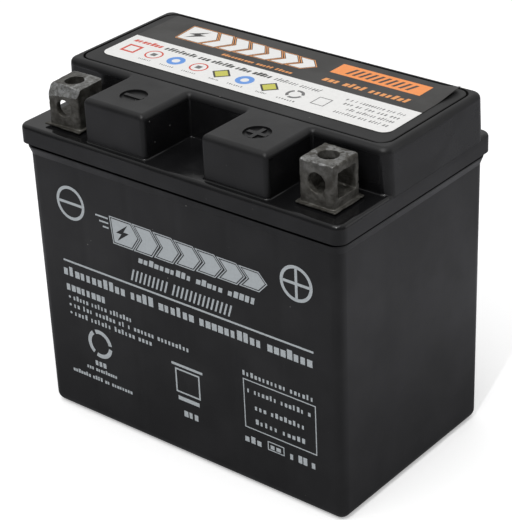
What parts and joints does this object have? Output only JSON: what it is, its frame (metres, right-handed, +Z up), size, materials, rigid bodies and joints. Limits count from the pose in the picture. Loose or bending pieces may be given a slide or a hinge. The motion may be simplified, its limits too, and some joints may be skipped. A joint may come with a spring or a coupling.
{
  "type": "motorcycle battery",
  "caption": "Sealed rectangular lead-acid motorcycle battery with a stepped lid, flush vent cover, printed label and hollow cast lead terminals in open bays at the front.",
  "frame": {"origin": "middle of the flat foot, on the surface the battery stands on", "axes": "+X along the long side towards the positive terminal, +Y from the terminal side to the back, +Z up"},
  "size_m": [0.113, 0.07, 0.105],
  "materials": {
    "case_plastic": "satin black moulded polypropylene",
    "lid_plastic": "satin to glossy black moulded polypropylene",
    "cover_plastic": "satin black moulded polypropylene",
    "label_film": "laminated printed film",
    "terminal_lead": "raw cast lead, worn bright on the edges",
    "strap_lead": "cast lead",
    "seal_red": "red potting resin",
    "seal_black": "black potting resin",
    "positive_paste": "brown pasted lead grid",
    "negative_paste": "grey pasted lead grid",
    "glass_mat": "white glass fibre mat",
    "cap_rubber": "soft black rubber",
    "porous_disc": "porous sintered disc"
  },
  "bodies": {
    "root": {"container": "case_plastic", "lid": "lid_plastic", "vent_cover": "cover_plastic", "top_label": "label_film", "flame_arrestor": "porous_disc", "positive_terminal": "terminal_lead", "negative_terminal": "terminal_lead", "positive_terminal_seal": "seal_red", "negative_terminal_seal": "seal_black", "cell_1_positive_plates": "positive_paste", "cell_1_negative_plates": "negative_paste", "cell_1_separators": "glass_mat", "cell_1_positive_strap": "strap_lead", "cell_1_negative_strap": "strap_lead", "cell_2_positive_plates": "positive_paste", "cell_2_negative_plates": "negative_paste", "cell_2_separators": "glass_mat", "cell_2_positive_strap": "strap_lead", "cell_2_negative_strap": "strap_lead", "cell_3_positive_plates": "positive_paste", "cell_3_negative_plates": "negative_paste", "cell_3_separators": "glass_mat", "cell_3_positive_strap": "strap_lead", "cell_3_negative_strap": "strap_lead", "cell_4_positive_plates": "positive_paste", "cell_4_negative_plates": "negative_paste", "cell_4_separators": "glass_mat", "cell_4_positive_strap": "strap_lead", "cell_4_negative_strap": "strap_lead", "cell_5_positive_plates": "positive_paste", "cell_5_negative_plates": "negative_paste", "cell_5_separators": "glass_mat", "cell_5_positive_strap": "strap_lead", "cell_5_negative_strap": "strap_lead", "cell_6_positive_plates": "positive_paste", "cell_6_negative_plates": "negative_paste", "cell_6_separators": "glass_mat", "cell_6_positive_strap": "strap_lead", "cell_6_negative_strap": "strap_lead", "intercell_weld_1": "strap_lead", "intercell_weld_2": "strap_lead", "intercell_weld_3": "strap_lead", "intercell_weld_4": "strap_lead", "intercell_weld_5": "strap_lead"},
    "cap_1": {"valve_cap_1": "cap_rubber"},
    "cap_2": {"valve_cap_2": "cap_rubber"},
    "cap_3": {"valve_cap_3": "cap_rubber"},
    "cap_4": {"valve_cap_4": "cap_rubber"},
    "cap_5": {"valve_cap_5": "cap_rubber"},
    "cap_6": {"valve_cap_6": "cap_rubber"}
  },
  "joints": [
    {"name": "valve_1_lift", "type": "slide", "parent": "root", "child": "cap_1", "axis": [0, 0, 1], "range_m": [0, 0.0005], "stiffness_N_per_m": 400},
    {"name": "valve_2_lift", "type": "slide", "parent": "root", "child": "cap_2", "axis": [0, 0, 1], "range_m": [0, 0.0005], "stiffness_N_per_m": 400},
    {"name": "valve_3_lift", "type": "slide", "parent": "root", "child": "cap_3", "axis": [0, 0, 1], "range_m": [0, 0.0005], "stiffness_N_per_m": 400},
    {"name": "valve_4_lift", "type": "slide", "parent": "root", "child": "cap_4", "axis": [0, 0, 1], "range_m": [0, 0.0005], "stiffness_N_per_m": 400},
    {"name": "valve_5_lift", "type": "slide", "parent": "root", "child": "cap_5", "axis": [0, 0, 1], "range_m": [0, 0.0005], "stiffness_N_per_m": 400},
    {"name": "valve_6_lift", "type": "slide", "parent": "root", "child": "cap_6", "axis": [0, 0, 1], "range_m": [0, 0.0005], "stiffness_N_per_m": 400}
  ]
}
